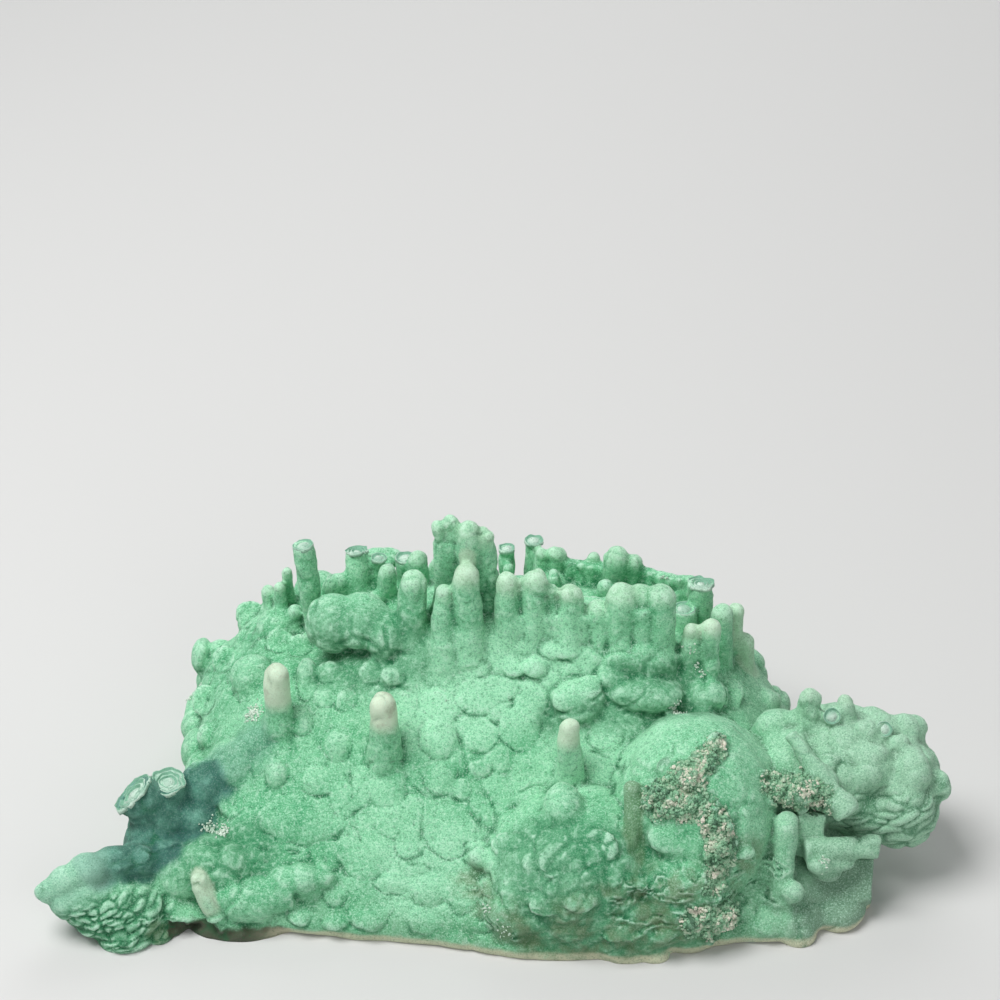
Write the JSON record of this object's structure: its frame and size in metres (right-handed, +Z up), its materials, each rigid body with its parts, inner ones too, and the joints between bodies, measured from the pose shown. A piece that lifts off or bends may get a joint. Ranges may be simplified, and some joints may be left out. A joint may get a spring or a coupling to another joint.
{
  "type": "malachite specimen",
  "caption": "Free-standing mineral specimen: a low mound of fused green knobs with upright stalactites, broken tubes, ledges and a flat foot.",
  "frame": {"origin": "centre of the bounding box, at the level of the flat foot", "axes": "+X along the specimen's length, to the right seen from its sloping front; +Y to its back; +Z up"},
  "size_m": [0.2187, 0.1197, 0.081],
  "materials": {
    "malachite_mass": "velvety frosted green, paler at the tips, blue-green on the left lobe"
  },
  "bodies": {
    "root": {"malachite_mass": "malachite_mass"}
  },
  "joints": []
}
